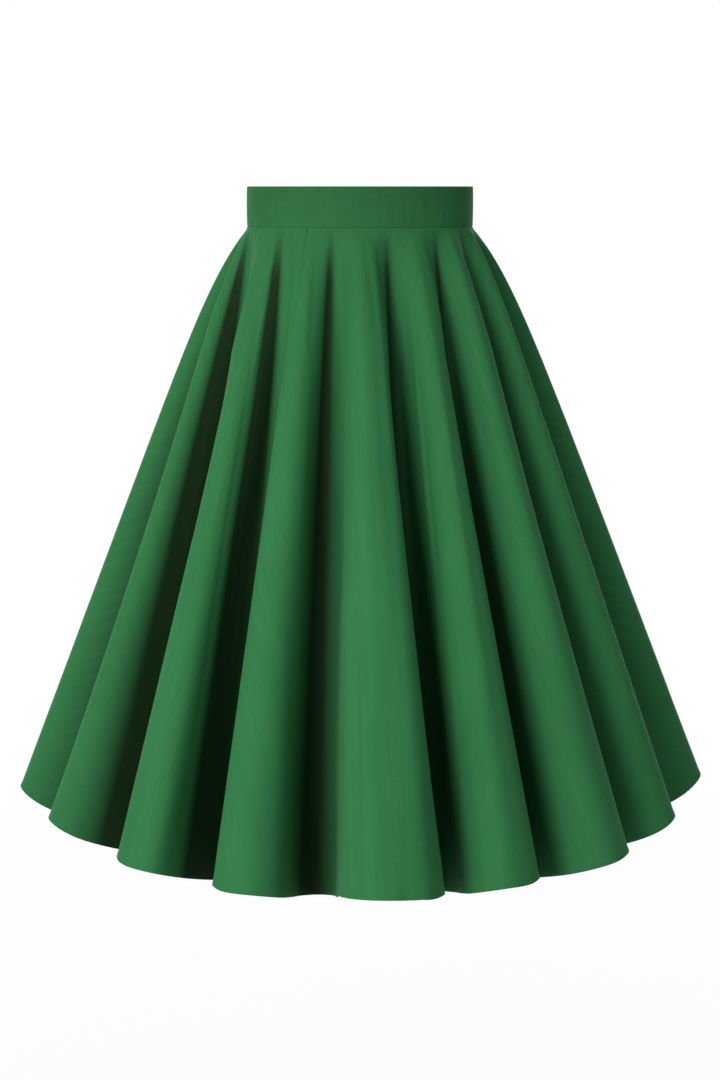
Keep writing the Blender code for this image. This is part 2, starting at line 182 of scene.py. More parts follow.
# Longer soft creases that run down the flutes.
#   top, low              cloth angles of its two ends
#   share_top, share_low  where it starts and ends down the ray
#   width                 half its width, metres
#   height                ridge where positive, trough where negative
Crease = namedtuple("Crease", "top low share_top share_low width height")
CREASE_FADE = 0.8
CREASES = [Crease(*row) for row in (
    (-3, -2.9, 0.5, 1.1, 0.008, -0.0036),
    (-1.4, -1.2, 0.66, 1.04, 0.008, 0.0012),
    (-2.8, -2.6, 0.88, 1.08, 0.0035, -0.0014),
    (-4.1, -4.4, 0.9, 1.08, 0.004, -0.0014),
    (1.2, 1.4, 0.95, 1.05, 0.0035, -0.0009),
    (2.4, 3.2, 0.4, 1.2, 0.018, 0.0036),
    (-10.8, -11.2, 0.5, 1.5, 0.042, 0.0088),
    (-60.5, -60, 0.2, 1.1, 0.016, -0.008),
    (-71.5, -71, 0.92, 1.05, 0.006, -0.001),
    (-59, -60, 0.02, 0.3, 0.003, 0.001),
    (-53.5, -54.5, 0, 0.24, 0.0034, -0.0013),
    (-49, -50, 0, 0.3, 0.0036, 0.0012),
    (-37, -37.5, 0, 0.16, 0.004, -0.001),
    (-30.4, -30.4, -0.1, 0.85, 0.0026, -0.0017),
    (-24, -22.5, 0, 0.22, 0.005, -0.001),
    (2, 3, 0, 0.18, 0.0045, -0.001),
    (34, 35.5, 0, 0.2, 0.005, 0.0011),
    (-53, -53, 0.5, 1.3, 0.028, 0.0055),
    (-23, -22, 0.4, 0.95, 0.015, -0.0012),
    (-45, -46, -0.05, 0.5, 0.016, 0.004),
    (-36, -37, 0.15, 0.78, 0.013, -0.0055),
    (-84, -84, 0.15, 0.98, 0.014, -0.0052),
    (7, 6.5, 0.2, 0.95, 0.014, -0.005),
    (35.5, 35, 0.15, 1.1, 0.016, -0.0048),
    (57, 57, 0.2, 1, 0.014, -0.0034),
    (7.5, 8.5, 0.2, 0.75, 0.012, -0.0011),
    (27, 27.5, 0.45, 1, 0.011, -0.0014),
    (23, 22.5, 0.1, 0.55, 0.007, 0.0011),
    (51, 52, 0.3, 0.85, 0.013, -0.0013),
    (72, 73, 0.55, 1.02, 0.009, -0.0012),
    (93, 94, 0.3, 0.8, 0.012, 0.0014),
    (98, 99, 0.7, 1.04, 0.008, -0.0015),
    (116, 115, 0.45, 0.98, 0.011, -0.0013),
    (137, 138, 0.25, 0.75, 0.012, -0.0013),
    (157, 156, 0.6, 1.04, 0.009, -0.0016),
    (173, 174.5, 0.5, 0.92, 0.009, 0.0012),
    (-174, -175, 0.55, 1.03, 0.008, -0.0014),
    (-158, -157, 0.3, 0.8, 0.012, -0.0012),
    (-138, -137, 0.6, 1.04, 0.01, -0.0015),
    (-116, -115, 0.35, 0.9, 0.012, 0.0013),
    (-93, -92, 0.62, 1.04, 0.009, -0.0014),
)]

# Slight ripples along the rays, as cloth cut on a circle always shows.
#   degrees  length of one ripple in cloth angle
#   start    its phase at centre front, degrees
#   height   how far it stands out at the hem
#   twist    how far its line drifts from waist to hem, in ripples
Ripple = namedtuple("Ripple", "degrees start height twist")
RIPPLES = (
    Ripple(360 / 97, 40, 0.00035, 0.35),
    Ripple(360 / 61, 150, 0.00045, -0.30),
    Ripple(360 / 151, 200, 0.00018, 0.50),
    Ripple(360 / 227, 300, 0.00010, -0.60),
)
# The ripples come and go in these many beats round the skirt
RIPPLE_BEATS = (7, 11)
RIPPLE_BEAT_DRIFT = 140
RIPPLE_BEAT_DEPTH = 0.45
RIPPLE_RAMP = 0.35

# How strongly each seam's line shows, by its cloth angle: the pressed ones lie almost flush
SEAM_STRENGTH = {-180: 1.0, -90: 0.7, -30: 1.0, 30: 0.12, 90: 0.7, 180: 1.0}
# How a panel's edge rolls into its seam: distance from the seam and height of the outer face
SEAM_ROLL = np.array((
    (0.0000, -0.00060),
    (0.0003, -0.00030),
    (0.0007, -0.00010),
    (0.0014, 0.00000),
    (0.0028, 0.00008),
    (0.0050, 0.00011),
    (0.0080, 0.00009),
    (0.0115, 0.00003),
    (0.0140, 0.00000),
)).T

# ---------------- cloth grid

FINE_COLUMN_ANGLE = 0.30
TOP_ROWS = 40
LOWER_ROWS = 74
TOP_SHARE = 0.20
TOP_ROW_CLOSENESS = 1.35
CLOTH_WALL = 0.00075
HEM_TURN = 0.012
HEM_FOLD_RADIUS = 0.0006
HEM_FOLD_ROWS = 4
HEM_TURN_ROWS = 3
HEM_LAP = 0.15
# The pressed hem stands out a little above its turning, over a short ramp
HEM_PRESS = 0.00045
HEM_PRESS_RAMP = 0.002
# Where a flute's side turns back the hem lifts a little: cloth angle, height and reach in degrees
TurnBack = namedtuple("TurnBack", "angle lift reach")
HEM_TURN_BACKS = [TurnBack(*row) for row in (
    (-98, 0.0055, 1.8),
    (-83.5, 0.0055, 1.8),
    (-58.5, 0.0055, 1.8),
    (-31, 0.0055, 1.8),
    (-6.6, 0.0066, 4.0),
    (6, 0.0045, 1.8),
    (33.75, 0.0055, 1.8),
    (56.25, 0.0055, 1.8),
    (76, 0.0055, 1.8),
    (95.75, 0.0055, 1.8),
)]
HEM_TURN_SHARE = 0.94
# The row that runs up behind the band's foot: how far in and how far up
UNDER_BAND_DEPTH = 0.0014
UNDER_BAND_RISE = 0.0015


# ---------------- small helpers

def smooth_step(value):
    """0 to 1 with soft ends."""
    clipped = np.clip(value, 0.0, 1.0)
    return clipped * clipped * (3 - 2 * clipped)


def unit(vectors):
    return vectors / np.linalg.norm(vectors, axis=-1, keepdims=True)


def lengths_along(points):
    """Lengths walked along a row of points, 0 at its first."""
    steps = np.linalg.norm(np.diff(points, axis=0), axis=-1)
    return np.concatenate([[0.0], np.cumsum(steps)])


def plan_points(angle, radius):
    """Plan points from angles in degrees (0 is -Y, 90 is +X) and radii."""
    turned = np.radians(angle)
    return np.stack([radius * np.sin(turned), -radius * np.cos(turned)], axis=-1)


# ---------------- the form of the cloth

def waist_ring():
    """The waist seam in plan: cloth angles and points of an ellipse, evenly spread by length."""
    turns = np.linspace(-math.pi, math.pi, WAIST_STEPS + 1)
    points = np.stack([WAIST_HALF_WIDTH * np.sin(turns), -WAIST_HALF_DEPTH * np.cos(turns)], axis=-1)
    lengths = lengths_along(points)
    return lengths / lengths[-1] * FULL_TURN - FULL_TURN / 2, points


def hem_ring():
    """The hem in plan, flute after flute.

    Cloth angles and points, then bow, rise and lift, and the painted shade's depth, offset and fineness.
    """
    rows = []
    for flute, following in zip(FLUTES, FLUTES[1:] + FLUTES[:1]):
        turn = FULL_TURN if following.cloth < flute.cloth else 0
        part = np.linspace(0, 1, FLUTE_STEPS + 1)
        phase = part * math.tau
        lift = (1 - np.cos(phase)) / 2
        swing = WALL_SWING * np.sin(2 * phase) - CREST_SPREAD * np.sin(phase)
        pitch = following.hem + turn - flute.hem
        fullness = np.where(part < 0.5, flute.first, flute.second)
        plan_angle = flute.hem + pitch * (part + fullness * swing) + flute.lean * lift
        valley = flute.valley + (following.valley - flute.valley) * part
        ring = plan_points(plan_angle, valley * (1 - lift) + flute.crest * lift)
        lengths = lengths_along(ring)
        cloth = flute.cloth + (following.cloth + turn - flute.cloth) * lengths / lengths[-1]
        rise = VALLEY_RISE * (1 - lift) + flute.rise * lift
        # how the painted shade is laid, blended from flute to flute
        shades = [getattr(flute, name) * (1 - part) + getattr(following, name) * part
                  for name in ("dim", "off", "fine")]
        columns = (cloth, ring[:, 0], ring[:, 1], flute.bow * lift, rise, lift, *shades)
        rows.append(np.stack(columns, axis=-1)[:-1])
    table = np.concatenate(rows)
    return table[:, 0], table[:, 1:3], *table[:, 3:].T


WAIST_ANGLES, WAIST_POINTS = waist_ring()
HEM_ANGLES, HEM_POINTS, HEM_BOWS, HEM_RISES, HEM_LIFTS, HEM_DIMS, HEM_OFFS, HEM_FINES = hem_ring()


def read_ring(angle, ring_angles, values):
    """Values of a closed ring at the cloth angles asked for."""
    if values.ndim == 1:
        return np.interp(angle, ring_angles, values, period=FULL_TURN)
    columns = [np.interp(angle, ring_angles, values[:, axis], period=FULL_TURN) for axis in range(2)]
    return np.stack(columns, axis=-1)


def way_out(share, bow):
    """How far a ray has gone from waist to hem in plan, at a share of its length."""
    bend = (1 - np.exp(-share / BOW_SPAN)) / (1 - math.exp(-1 / BOW_SPAN))
    return (1 - bow) * share + bow * bend


def cloth_point(angle, share):
    """Points of the smooth cloth's outer face; angle and share are arrays of one shape."""
    waist = read_ring(angle, WAIST_ANGLES, WAIST_POINTS)
    hem = read_ring(angle, HEM_ANGLES, HEM_POINTS)
    run = np.linalg.norm(hem - waist, axis=-1)
    bow = CREST_BOW * read_ring(angle, HEM_ANGLES, HEM_BOWS)
    length = SKIRT_LENGTH - read_ring(angle, HEM_ANGLES, HEM_RISES)

    drop = np.zeros_like(share)
    for step in range(FALL_STEPS):
        upper = share * step / FALL_STEPS
        lower = share * (step + 1) / FALL_STEPS
        out = run * (way_out(lower, bow) - way_out(upper, bow))
        drop += np.sqrt((length * (lower - upper)) ** 2 - out ** 2)

    plan = waist + (hem - waist) * way_out(share, bow)[..., None]
    height = BAND_FOOT - SEAM_GAP - drop
    return np.concatenate([plan, height[..., None]], axis=-1)


def cloth_normal(angle, share):
    """Outward unit normals of the smooth cloth's outer face."""
    small_angle = 0.05
    small_share = 0.001
    across = cloth_point(angle + small_angle, share) - cloth_point(angle - small_angle, share)
    upper = np.maximum(share - small_share, 0.0)
    down = cloth_point(angle, share + small_share) - cloth_point(angle, upper)
    return unit(np.cross(down, across))


def cloth_radius(share):
    """Radius of the flat cut at a share of the ray."""
    return CUT_RADIUS + share * SKIRT_LENGTH


def painted_fold_shade(angle, share):
    """How much shade is painted into a point's colour, 0 on the crests to about 1 in the valleys.

    The painted shade of the hollows begins narrow under the band and widens down the skirt. All the
    cloth also takes a little painted shade close under the band.
    """
    lift = read_ring(angle - read_ring(angle, HEM_ANGLES, HEM_OFFS), HEM_ANGLES, HEM_LIFTS)
    sharpness = read_ring(angle, HEM_ANGLES, HEM_FINES) + DIM_TOP_SHARPNESS * np.exp(-share / DIM_SPREAD)
    # painted shade in the hollows, and the even painted shade under the band
    depth = read_ring(angle, HEM_ANGLES, HEM_DIMS) * (1 - lift) ** sharpness
    hollow = np.clip(depth, 0.0, 1.0) * smooth_step((share - DIM_START) / DIM_RAMP)
    under_band = TOP_SHADE * np.exp(-share / TOP_SHADE_SPREAD)
    return 1 - (1 - hollow) * (1 - under_band)


# ---------------- relief of the cloth

def pinch_relief(angle, share):
    """Short pinches under the band, widest at the seam and fading downwards."""
    relief = np.zeros_like(angle)
    run_down = share * SKIRT_LENGTH
    for pinch in PINCHES:
        away = np.radians(angle - pinch.angle) * cloth_radius(share)
        width = pinch.width * (1 + PINCH_SPREAD * run_down / pinch.run)
        fade = smooth_step(run_down / PINCH_START) * (1 - smooth_step(run_down / pinch.run))
        relief += pinch.height * fade * np.exp(-(away / width) ** 2)
    return relief


def crease_relief(angle, share):
    """Long soft troughs and ridges down the flutes, fading at both ends."""
    relief = np.zeros_like(angle)
    for crease in CREASES:
        along = (share - crease.share_top) / (crease.share_low - crease.share_top)
        middle = crease.top + (crease.low - crease.top) * np.clip(along, 0.0, 1.0)
        away = np.radians(angle - middle) * cloth_radius(share)
        fade = np.sin(math.pi * np.clip(along, 0.0, 1.0)) ** CREASE_FADE
        relief += crease.height * fade * np.exp(-(away / crease.width) ** 2)
    return relief


def ripple_relief(angle, share):
    """Slight ripples along the rays, growing from waist to hem and coming and going round it."""
    relief = np.zeros_like(angle)
    for ripple in RIPPLES:
        phase = np.radians(FULL_TURN * (angle / ripple.degrees + ripple.twist * share) + ripple.start)
        relief += ripple.height * np.sin(phase)
    first, second = RIPPLE_BEATS
    drifting = np.sin(np.radians(angle * first + RIPPLE_BEAT_DRIFT * share))
    beat = RIPPLE_BEAT_DEPTH * drifting * np.sin(np.radians(angle * second))
    return relief * (1 - RIPPLE_BEAT_DEPTH + beat) * smooth_step(share / RIPPLE_RAMP)


def cloth_relief(angle, share):
    return pinch_relief(angle, share) + crease_relief(angle, share) + ripple_relief(angle, share)


# ---------------- meshes from grids

def flat_values(values):
    return values.reshape(-1).astype(np.float32)


def grid_mesh(name, points, uv, painted_shade=None):
    """A grid of quads through points[row, column], rows running down and columns to +X at the front.

    The uv layer holds the flat cut, in metres, and the optional point values how much shade is
    painted into the colour, deepest in the folds.
    """
    rows, columns = points.shape[:2]
    mesh = bpy.data.meshes.new(name)
    index = np.arange(rows * columns).reshape(rows, columns)
    corners = (index[:-1, :-1], index[1:, :-1], index[1:, 1:], index[:-1, 1:])
    quads = np.stack(corners, axis=-1).reshape(-1, 4)
    mesh.vertices.add(rows * columns)
    mesh.vertices.foreach_set("co", flat_values(points))
    mesh.loops.add(quads.size)
    mesh.loops.foreach_set("vertex_index", quads.reshape(-1).astype(np.int32))
    mesh.polygons.add(len(quads))
    mesh.polygons.foreach_set("loop_start", np.arange(0, quads.size, 4, dtype=np.int32))
    layer = mesh.uv_layers.new(name="cut")
    layer.data.foreach_set("uv", flat_values(uv.reshape(-1, 2)[quads.reshape(-1)]))
    # point values of the shade painted into the colour
    if painted_shade is not None:
        depth = mesh.attributes.new("painted_shade", "FLOAT", "POINT")
        depth.data.foreach_set("value", flat_values(painted_shade))
    mesh.update(calc_edges=True)
    mesh.validate()
    mesh.shade_smooth()
    return mesh


def new_object(name, data):
    """An object placed in the scene."""
    thing = bpy.data.objects.new(name, data)
    bpy.context.scene.collection.objects.link(thing)
    return thing


def add_piece(name, mesh, material, body, nodes=()):
    """A finished piece: it rides on its body and stands for its solids, which it hides."""
    piece = new_object(name, mesh)
    mesh.materials.clear()
    mesh.materials.append(material)
    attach(piece, body)
    if nodes:
        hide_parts(*nodes)
    return piece


def give_wall(piece, wall):
    """Cloth thickness, laid inwards from the outer face; a piece's last material is its inside."""
    modifier = piece.modifiers.new("wall", "SOLIDIFY")
    modifier.material_offset = len(piece.data.materials) - 1
    modifier.thickness = wall
    modifier.offset = -1
    modifier.use_rim = True


# ---------------- skirt panels

def row_shares():
    """Shares of the rows from waist to hem, close together under the band."""
    top = TOP_SHARE * np.linspace(0, 1, TOP_ROWS + 1) ** TOP_ROW_CLOSENESS
    lower = np.linspace(TOP_SHARE, 1, LOWER_ROWS + 1)[1:]
    return np.concatenate([top, lower])


def panel_angles(panel, share):
    """Cloth angles of a row: columns at set distances from each seam, evenly spaced between."""
    radius = cloth_radius(share)
    near = np.degrees(SEAM_ROLL[0] / radius)
    columns = round((panel.end - panel.start) / FINE_COLUMN_ANGLE)
    middle = np.linspace(panel.start + near[-1], panel.end - near[-1], columns + 1)[1:-1]
    return np.concatenate([panel.start + near, middle, panel.end - near[::-1]])


def seam_roll(panel, angle, share):
    """Height of the outer face where a panel's edges roll into their seams."""
    relief = np.zeros_like(angle)
    for seam, to_seam in ((panel.start, angle - panel.start), (panel.end, panel.end - angle)):
        away = np.radians(to_seam) * cloth_radius(share)
        relief += SEAM_STRENGTH[seam] * np.interp(away, *SEAM_ROLL)
    return relief


def hem_lift(angle, share):
    """How much shorter a ray hangs at its hem where a flute's side turns back."""
    lift = np.zeros_like(angle)
    for turn_back in HEM_TURN_BACKS:
        lift += turn_back.lift * np.exp(-((angle - turn_back.angle) / turn_back.reach) ** 2)
    return lift * smooth_step((share - HEM_TURN_SHARE) / (1 - HEM_TURN_SHARE))


def turn_up_hem(points, normals):
    """Rows that fold the hem inwards and back up, continuing a panel's rows."""
    down = unit(points[-1] - points[-2])
    inward = -normals[-1]
    centre = points[-1] + inward * HEM_FOLD_RADIUS
    rows = []
    for step in range(1, HEM_FOLD_ROWS + 1):
        turn = math.pi * step / HEM_FOLD_ROWS
        rows.append(centre + HEM_FOLD_RADIUS * (-inward * math.cos(turn) + down * math.sin(turn)))
    lap = rows[-1] - points[-1]
    for step in range(1, HEM_TURN_ROWS + 1):
        rows.append(rows[HEM_FOLD_ROWS - 1] - down * HEM_TURN * step / HEM_TURN_ROWS + lap * HEM_LAP)
    return np.concatenate([points, np.stack(rows)])


def run_under_band(points, normals):
    """A row above the others that carries a panel's top edge up behind the band's foot."""
    inward = -unit(normals[0] * [1.0, 1.0, 0.0])
    under = points[0] + inward * UNDER_BAND_DEPTH + [0.0, 0.0, UNDER_BAND_RISE]
    return np.concatenate([under[None], points])


def panel_mesh(panel):
    shares = row_shares()
    angle = np.stack([panel_angles(panel, share) for share in shares])
    share = np.repeat(shares[:, None], angle.shape[1], axis=1)
    normals = cloth_normal(angle, share)
    share = share * (1 - hem_lift(angle, share) / SKIRT_LENGTH)
    hem_press = HEM_PRESS * smooth_step(((share - 1) * SKIRT_LENGTH + HEM_TURN) / HEM_PRESS_RAMP)
    height = cloth_relief(angle, share) + seam_roll(panel, angle, share) + hem_press
    points = cloth_point(angle, share) + normals * height[..., None]
    points = run_under_band(turn_up_hem(points, normals), normals)
    uv = plan_points(angle - (panel.start + panel.end) / 2, cloth_radius(share))
    extra = HEM_FOLD_ROWS + HEM_TURN_ROWS
    uv = np.concatenate([uv[:1] * (1 - UNDER_BAND_RISE / CUT_RADIUS), uv, uv[-2:-2 - extra:-1]])
    # painted shade in the folds; the turned-up hem rows take none
    painted_shade = painted_fold_shade(angle, share)
    painted_shade = np.concatenate([painted_shade[:1], painted_shade, np.zeros((extra, painted_shade.shape[1]))])
    return grid_mesh(panel.node, points, uv, painted_shade)


def make_panels(material, inside):
    for panel in PANELS:
        piece = add_piece(panel.node + "_cloth", panel_mesh(panel), material, "skirt",
                          [panel.node])
        piece.data.materials.append(inside)
        give_wall(piece, CLOTH_WALL)


# ---------------- waistband

BAND_COLUMNS = 480
BAND_WALL = 0.0020
BAND_CLOTH_WALL = 0.0007
BAND_FOLD_RADIUS = 0.00095
BAND_CROWN = 0.00035
BAND_CROWN_FADE = 0.7
BAND_FACE_ROWS = 12
BAND_FOLD_ROWS = 6
BAND_BACK_ROWS = 8
ZIP_SLOT_HALF = 0.0008
# Shade painted into the band's colour, more at its top than at its foot
BAND_SHADE_TOP = 0.34
BAND_SHADE_FOOT = 0.20
# How the band's foot rolls in: height above its edge and distance out
BAND_FOOT_ROLL = ((0.0000, -0.00085), (0.0003, -0.00040), (0.0008, -0.00010), (0.0016, 0.0))
# Unevenness of the pressed band: height, waves round the waist, start and drift in degrees
BandWave = namedtuple("BandWave", "height count start drift")
SLOW_WAVES = (BandWave(0.00022, 5, 60, 0), BandWave(0.00016, 9, 200, 0))
QUICK_WAVES = (BandWave(0.00009, 31, 0, 90), BandWave(0.00006, 53, 0, 0))
QUICK_WAVE_FADE = 0.5


def band_section():
    """Section of the folded band, from its outer foot over the top fold to its inner foot.

    Each row is the distance out from the waist ring and the height.
    """
    rows = [(depth, BAND_FOOT + height) for height, depth in BAND_FOOT_ROLL]
    face_top = BAND_TOP - BAND_FOLD_RADIUS
    face_foot = BAND_FOOT + BAND_FOOT_ROLL[-1][0]
    for part in np.linspace(0, 1, BAND_FACE_ROWS + 1)[1:]:
        crown = BAND_CROWN * math.sin(math.pi * part) ** BAND_CROWN_FADE if part < 1 else 0.0
        rows.append((crown, face_foot + (face_top - face_foot) * part))
    for turn in np.linspace(0, math.pi, BAND_FOLD_ROWS + 1)[1:]:
        out = -BAND_FOLD_RADIUS * (1 - math.cos(turn))
        rows.append((out, face_top + BAND_FOLD_RADIUS * math.sin(turn)))
    inner = rows[-1][0]
    for part in np.linspace(0, 1, BAND_BACK_ROWS + 1)[1:]:
        rows.append((inner, face_top - (face_top - BAND_FOOT) * part))
    return np.array(rows)


def band_relief(angle, height):
    """Slight unevenness of the pressed band."""
    across = (height - BAND_FOOT) / BAND_HEIGHT
    slow, quick = [
        sum(wave.height * np.sin(np.radians(angle * wave.count + wave.start + wave.drift * across))
            for wave in waves)
        for waves in (SLOW_WAVES, QUICK_WAVES)
    ]
    return slow * np.sin(math.pi * np.clip(across, 0, 1)) + quick * (1 - QUICK_WAVE_FADE * across)


def make_waistband(material):
    section = band_section()
    half_slot = math.degrees(ZIP_SLOT_HALF / CUT_RADIUS)
    angles = np.linspace(-180 + half_slot, 180 - half_slot, BAND_COLUMNS + 1)
    ring = read_ring(angles, WAIST_ANGLES, WAIST_POINTS)
    tangent = unit(np.gradient(ring, axis=0))
    outward = np.stack([tangent[:, 1], -tangent[:, 0]], axis=-1)
    rows = []
    for out, height in section:
        plan = ring + outward * (out + band_relief(angles, height))[:, None]
        rows.append(np.concatenate([plan, np.full((len(angles), 1), height)], axis=-1))
    points = np.stack(rows)[::-1]
    walked = lengths_along(section)
    along = np.radians(angles) * CUT_RADIUS
    uv = np.stack(np.broadcast_arrays(along[None, :], walked[::-1, None]), axis=-1)
    # painted shade on the band, deeper towards its top
    up = np.clip((section[::-1, 1] - BAND_FOOT) / BAND_HEIGHT, 0.0, 1.0)
    shade = BAND_SHADE_FOOT + (BAND_SHADE_TOP - BAND_SHADE_FOOT) * up
    shade = np.broadcast_to(shade[:, None], points.shape[:2]).copy()
    piece = add_piece("waistband_cloth", grid_mesh("waistband", points, uv, shade), material, "skirt",
                      ["waistband"])
    give_wall(piece, BAND_CLOTH_WALL)


# ---------------- zip

CLEARANCE = 0.0003
TAPE_WIDTH = 0.012
TAPE_FALL = 0.160
TAPE_TOP_SETBACK = 0.0005
TAPE_WALL = 0.0007
TAPE_BAND_ROWS = 12
TAPE_LOWER_ROWS = 60
TAPE_COLUMNS = (0, 0.02, 0.06, 0.11, 0.16, 0.3, 0.5, 0.7, 0.84, 0.89, 0.94, 0.98, 1.0)
# The selvedge's thickness, and the shares of the tape that it and its rounded edge take
TAPE_SELVEDGE = 0.00018
SELVEDGE_SHARE = 0.11
SELVEDGE_ROUND = 0.02
# How much of the cut's widening below the waist the zip follows
BREADTH_GROWTH = 0.8
COIL_PITCH = 0.0012
COIL_RADII = (0.00085, 0.00055)
COIL_WIRE = 0.00024
COIL_REACH = 0.00115
COIL_LEAST_REACH = 0.0001
COIL_TURN_STEPS = 10
COIL_SIDES = 6
# Where the wire's rings start: a direction that the coil never runs along
COIL_UP = (0.0, 0.35, 1.0)

SLIDER_LOW, SLIDER_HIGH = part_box("zip_slider")
PULL_LOW, PULL_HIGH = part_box("zip_pull")
EYE_RADIUS = 0.00120
EYE_BORE_RADIUS = 0.00078
EYE_WIDTH = 0.0020
PIN = Vector((0.0, (PULL_LOW.y + PULL_HIGH.y) / 2, PULL_HIGH.z - EYE_RADIUS))
PIN_RADIUS = 0.00045
PLATE_DEPTH = 0.0012
PLATE_FACE = WAIST_HALF_DEPTH + CLEARANCE + PLATE_DEPTH
BODY_DEPTH = 0.0028
NECK_WIDTH = 0.0009
LUG_GAP = 0.0026
LUG_WALL = 0.0008
LUG_HEIGHT = 0.0024
TAB_WALL = 0.0010
# The slider's rounded edges, how far its plate and neck stay in from the body and how far the
# neck and lugs sink into their neighbours
PLATE_EDGE = 0.00045
NECK_EDGE = 0.00015
BODY_EDGE = 0.0006
LUG_EDGE = 0.00030
PLATE_INSET = 0.0001
NECK_INSET = 0.0005
SINK = 0.0004
PIN_SIDES = 24
PIN_END_RING = 0.55
EYE_SIDES = 28
EYE_CHAMFER = 0.00014
BORE_CHAMFER = 0.00012
# The tab's face from its sunk middle over its rim to its edge: inset from the outline and depth
# below the rim
TAB_LAYERS = ((0.00072, 0.00018), (0.00045, 0.00006), (0.000315, 0.0), (0.00016, 0.0), (0.0, 0.00016))
# Half widths of the pull tab at heights below its hinge line; its lower end is round
TAB_WIDTHS = ((0.0009, 0.00100), (0.0030, 0.00112), (0.0080, 0.00160), (0.0140, 0.00225), (0.0190, 0.00258))
TAB_END_STEPS = 12
# Metal edges sharper than this, in degrees, stay crisp
CRISP_ANGLE = 40


def behind_opening(side, reach, run, depth):
    """Points behind one edge of the zip opening.

    The reach is measured from the opening's middle line, the run downwards from the waist seam
    and the depth inwards from the outer face.
    """
    below = np.clip(run, 0.0, None)
    share = below / SKIRT_LENGTH
    angle = side * (FULL_TURN / 2 - np.degrees(reach / (CUT_RADIUS + below * BREADTH_GROWTH)))
    point = cloth_point(angle, share)
    point[..., 2] -= np.clip(run, None, 0.0)
    normal = cloth_normal(angle, share)
    normal[..., 2] = np.where(below > 0, normal[..., 2], 0.0)
    return point - unit(normal) * np.asarray(depth)[..., None]


def name_side(word, side):
    return word + ("_left" if side > 0 else "_right")


def make_tape(side, material):
    """Woven zip tape behind one edge of the opening, a little thicker at its selvedges."""
    name = name_side("zip_tape", side)
    across = np.array(TAPE_COLUMNS)
    band_runs = np.linspace(TAPE_TOP_SETBACK - BAND_HEIGHT, 0.0, TAPE_BAND_ROWS + 1)
    runs = np.concatenate([band_runs, np.linspace(0.0, TAPE_FALL, TAPE_LOWER_ROWS + 1)[1:]])
    order = across if side < 0 else across[::-1]
    width = ZIP_SLOT_HALF + TAPE_WIDTH
    reach = np.broadcast_to(width * order, (len(runs), len(order)))
    run = np.broadcast_to(runs[:, None], reach.shape)
    edge = np.minimum(order, 1 - order)
    rounding = smooth_step((edge + SELVEDGE_ROUND) / (2 * SELVEDGE_ROUND))
    swell = TAPE_SELVEDGE * (1 - smooth_step(edge / SELVEDGE_SHARE)) * rounding
    depth = BAND_WALL + CLEARANCE + TAPE_SELVEDGE - np.broadcast_to(swell, reach.shape)
    points = behind_opening(side, reach, run, depth)
    uv = np.stack([side * reach, -run], axis=-1)
    piece = add_piece(name + "_weave", grid_mesh(name, points, uv), material, "skirt", [name])
    give_wall(piece, TAPE_WALL)


def tube_mesh(name, path, radius, sides):
    """Round wire along a path of points, closed at its ends."""
    along = unit(np.gradient(path, axis=0))
    first = unit(np.cross(along, COIL_UP))
    second = np.cross(along, first)
    turn = np.linspace(0, math.tau, sides, endpoint=False)
    ring = first[:, None] * np.cos(turn)[None, :, None] + second[:, None] * np.sin(turn)[None, :, None]
    points = (path[:, None] + radius * ring).reshape(-1, 3)
    index = np.arange(len(points)).reshape(len(path), sides)
    following = np.roll(index, -1, axis=1)
    quads = np.stack([index[:-1], index[1:], following[1:], following[:-1]], axis=-1).reshape(-1, 4)
    faces = quads.tolist() + [index[0].tolist(), index[-1][::-1].tolist()]
    mesh = bpy.data.meshes.new(name)
    mesh.from_pydata(points.tolist(), [], faces)
    mesh.shade_smooth()
    return mesh


def make_coil(side, material):
    """One side of the zip's nylon coil, sewn to its tape; the two sides mesh in the middle."""
    top = BAND_FOOT - SLIDER_LOW.z
    turns = math.floor((TAPE_FALL - top - COIL_PITCH) / COIL_PITCH)
    phase = np.linspace(0, turns * math.tau, turns * COIL_TURN_STEPS + 1)
    run = top + COIL_PITCH * (phase / math.tau + (0.5 if side > 0 else 0.0))
    wide, deep = COIL_RADII
    reach = COIL_REACH + wide * np.cos(phase)
    middle = BAND_WALL + CLEARANCE + TAPE_WALL + 2 * TAPE_SELVEDGE + deep + COIL_WIRE
    path = behind_opening(side, np.maximum(reach, COIL_LEAST_REACH), run, middle + deep * np.sin(phase))
    name = name_side("zip_coil", side)
    add_piece(name, tube_mesh(name, path, COIL_WIRE, COIL_SIDES), material, "skirt")


def add_block(bm, low, high, round_edge):
    """A block between two corners with rounded edges."""
    centre = (Vector(low) + Vector(high)) / 2
    size = Vector(high) - Vector(low)
    made = bmesh.ops.create_cube(bm, size=1.0)["verts"]
    for vertex in made:
        vertex.co = Vector([centre[axis] + vertex.co[axis] * size[axis] for axis in range(3)])
    edges = list({edge for vertex in made for edge in vertex.link_edges})
    bmesh.ops.bevel(bm, geom=edges, offset=round_edge, segments=4, profile=0.5, affect="EDGES")


def mirrored(points):
    """A section's right half with its mirrored left half before it."""
    return [(-x, value) for x, value in reversed(points)] + list(points)


def add_rings(bm, section, sides):
    """Round rings about the pin's line, one for each place along X and radius of a section."""
    return [[bm.verts.new((PIN.x + x, PIN.y + radius * math.cos(math.tau * step / sides),
                           PIN.z + radius * math.sin(math.tau * step / sides))) for step in range(sides)]
            for x, radius in section]


def join_rings(bm, rings, following):
    """Faces between rings of corners and the rings that follow them."""
    for ring, after in zip(rings, following):
        for step in range(len(ring)):
            beside = (step + 1) % len(ring)
            bm.faces.new((ring[step], ring[beside], after[beside], after[step]))


def close_ends(bm, rings):
    bm.faces.new(rings[0][::-1])
    bm.faces.new(rings[-1])


